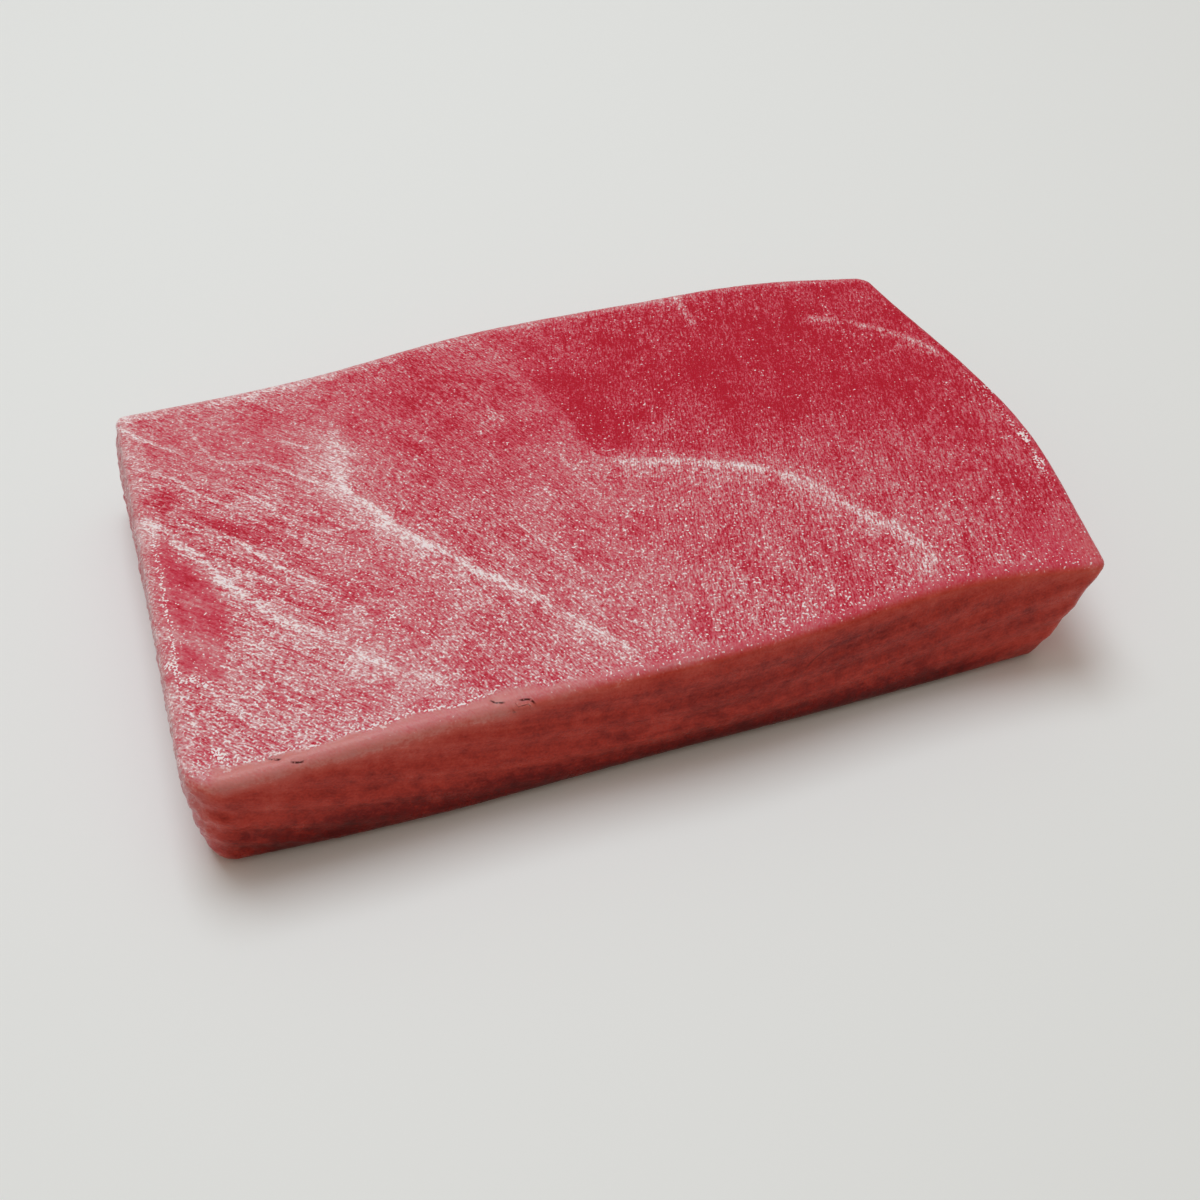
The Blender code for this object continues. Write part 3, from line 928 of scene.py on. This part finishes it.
# The front wall shows the layers edge on, as faint streaks 12 mm long and 0.8 mm thick, over the
# clusters and a grain of 1.8 mm.
STREAK_LENGTH = 12.0 * MM
STREAK_THICKNESS = 0.8
WALL_GRAIN_SIZE = 1.8 * MM
WALL_GAINS = (0.36, 0.6, 0.46, 0.2)
run = add("ShaderNodeMath", plus, _0=split.outputs["X"], _1=split.outputs["Y"])
run = add("ShaderNodeMath", over, _0=run, _1=STREAK_LENGTH)
layer_way = add("ShaderNodeMath", over, _0=mark["layers"], _1=STREAK_THICKNESS)
layer_coords = add("ShaderNodeCombineXYZ", X=run, Y=layer_way)
wall_streaks = add("ShaderNodeTexNoise", Vector=layer_coords, Scale=1.0, Detail=4.0, Roughness=0.6)
wall_grain = add("ShaderNodeTexNoise", Vector=coords, Scale=1.0 / WALL_GRAIN_SIZE, Detail=3.0, Roughness=0.6)
# The wall's tone with its painted shade and light, and the layers, clusters and grain over it.
wall_tone_and_shade = mark["wall_tone_and_shade"]
for pattern, gain in zip((wall_streaks, clusters, wall_grain, grains), WALL_GAINS):
    centred = add("ShaderNodeMath", minus, _0=pattern.outputs[0], _1=0.5)
    wall_tone_and_shade = add("ShaderNodeMath", times_plus, _0=centred, _1=gain, _2=wall_tone_and_shade)
tree.links.new(wall_tone_and_shade.outputs[0], shaded_wall_colour.inputs[0])

# Over both come the band of fat, which the clusters make uneven, and the painted shade in the nicks and the
# crease.
BAND_COLOUR = "CA7E7B"
BAND_UNEVEN = {"From_Min": 0.35, "From_Max": 0.65, "To_Min": 0.3, "To_Max": 1.0}
NICK_SHADE_COLOUR = "480E06"
NICK_SOFT = {"From_Min": 0.22, "From_Max": 0.06}
NICK_RAGS = {"From_Min": 0.25, "From_Max": 0.45}
colour_mix = {"data_type": "RGBA"}
# The front-facing walls take the colours with painted shade, the others the top's colours.
colour = add("ShaderNodeMix", colour_mix, Factor=mark["shaded_front_wall"], _6=top_colour, _7=shaded_wall_colour)
band_part = add("ShaderNodeMapRange", Value=clusters.outputs[0], **BAND_UNEVEN)
band_part = add("ShaderNodeMath", times, _0=band_part, _1=mark["band"])
colour = add("ShaderNodeMix", colour_mix, Factor=band_part, _6=colour.outputs[2], _7=srgb(BAND_COLOUR))
# Painted shade in the nicks and the crease, frayed by the grains.
nick_shade = add("ShaderNodeMath", without_sign, _0=mark["nick_gap"])
nick_shade = add("ShaderNodeMapRange", smooth, Value=nick_shade, **NICK_SOFT)
nick_shade = add("ShaderNodeMath", times, _0=nick_shade, _1=mark["nick"])
ragged_nick = add("ShaderNodeMapRange", Value=grains.outputs[0], **NICK_RAGS)
nick_shade = add("ShaderNodeMath", times, _0=nick_shade, _1=ragged_nick)
colour = add("ShaderNodeMix", colour_mix, Factor=nick_shade, _6=colour.outputs[2], _7=srgb(NICK_SHADE_COLOUR))
tree.links.new(colour.outputs[2], shader.inputs["Base Color"])

# The dashes and grains stand a quarter of a millimetre proud, and the juice lies in uneven pools.
GRAINS_STAND = 0.8
BUMP_HEIGHT = 0.25 * MM
BUMP_STRENGTH = 0.5
WET_GLOSS = {"From_Min": 0.3, "From_Max": 0.7, "To_Min": 0.36, "To_Max": 0.24}
bumps = add("ShaderNodeMath", times_plus, _0=grains.outputs[0], _1=GRAINS_STAND, _2=dashes.outputs[0])
bumps = add("ShaderNodeMath", times, _0=bumps, _1=skin_gain)
bump = add("ShaderNodeBump", Height=bumps, Strength=BUMP_STRENGTH, Distance=BUMP_HEIGHT)
tree.links.new(bump.outputs["Normal"], shader.inputs["Normal"])
gloss = add("ShaderNodeMapRange", Value=clusters.outputs[0], **WET_GLOSS)
tree.links.new(gloss.outputs[0], shader.inputs["Roughness"])
shader.inputs["IOR"].default_value = 1.34
shader.inputs["Specular IOR Level"].default_value = 0.3
shader.inputs["Subsurface Weight"].default_value = 0.15
shader.inputs["Subsurface Radius"].default_value = (1.0, 0.3, 0.2)
shader.inputs["Subsurface Scale"].default_value = 1.5 * MM
flesh_data.materials.append(material)

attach(flesh, "root")
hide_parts("tuna_belly_block")

# The floor: a plain, pale, matt board, far wider than the block.
FLOOR_HALF_WIDTH = 1.5
FLOOR_COLOUR = "E8EEF2"
FLOOR_ROUGHNESS = 0.6

floor_mesh = bmesh.new()
bmesh.ops.create_grid(floor_mesh, x_segments=1, y_segments=1, size=FLOOR_HALF_WIDTH)
floor_data = bpy.data.meshes.new("floor")
floor_mesh.to_mesh(floor_data)
floor_mesh.free()
floor = bpy.data.objects.new("floor", floor_data)
bpy.context.scene.collection.objects.link(floor)
board = bpy.data.materials.new("matt_white_board")
board.use_nodes = True
paint = board.node_tree.nodes["Principled BSDF"]
paint.inputs["Base Color"].default_value = srgb(FLOOR_COLOUR)
paint.inputs["Roughness"].default_value = FLOOR_ROUGHNESS
floor_data.materials.append(board)

# Light: a large soft window behind and above, and a dim warm room that fills the front face. Each
# softbox has its place and its size in metres, its power in watts and its tint.
ROOM_TINT = (1.0, 0.81, 0.64, 1.0)
ROOM_STRENGTH = 0.38
SOFTBOXES = {
    "window_behind": ((-0.08, 0.3, 0.95), (0.5, 0.5), 4.7, (0.92, 0.98, 1.0)),
    "ceiling": ((0.1, 0.15, 1.2), (1.0, 1.0), 2.2, (0.92, 0.98, 1.0)),
}

world = bpy.data.worlds.new("warm_room")
world.use_nodes = True
world.node_tree.nodes["Background"].inputs["Color"].default_value = ROOM_TINT
world.node_tree.nodes["Background"].inputs["Strength"].default_value = ROOM_STRENGTH
bpy.context.scene.world = world
bpy.context.scene.view_settings.view_transform = "Standard"
for name, (spot, size, power, tint) in SOFTBOXES.items():
    lamp_data = bpy.data.lights.new(name, "AREA")
    lamp_data.shape = "RECTANGLE"
    lamp_data.size, lamp_data.size_y = size
    lamp_data.energy = power
    lamp_data.color = tint
    lamp = bpy.data.objects.new(name, lamp_data)
    lamp.location = spot
    lamp.rotation_euler = (-Vector(spot)).to_track_quat("-Z", "Y").to_euler()
    bpy.context.scene.collection.objects.link(lamp)

# Camera: the photograph looks down at the front left of the block, from about 20 cm above it. The
# turns are in degrees, and the sensor's width and the focal length in millimetres.
CAMERA_SPOT = Vector((-50.8, -176.5, 196.2)) * MM
LOOKING_DOWN = 48.0
TURNED_RIGHT = 16.44
SENSOR_WIDTH = 36.0
FOCAL_LENGTH = 45.9

camera_data = bpy.data.cameras.new("camera")
camera_data.sensor_width = SENSOR_WIDTH
camera_data.lens = FOCAL_LENGTH
camera = bpy.data.objects.new("camera", camera_data)
camera.location = CAMERA_SPOT - Vector((middle[0], middle[1], 0.0))
camera.rotation_euler = (math.radians(90.0 - LOOKING_DOWN), 0.0, math.radians(-TURNED_RIGHT))
bpy.context.scene.collection.objects.link(camera)
bpy.context.scene.camera = camera
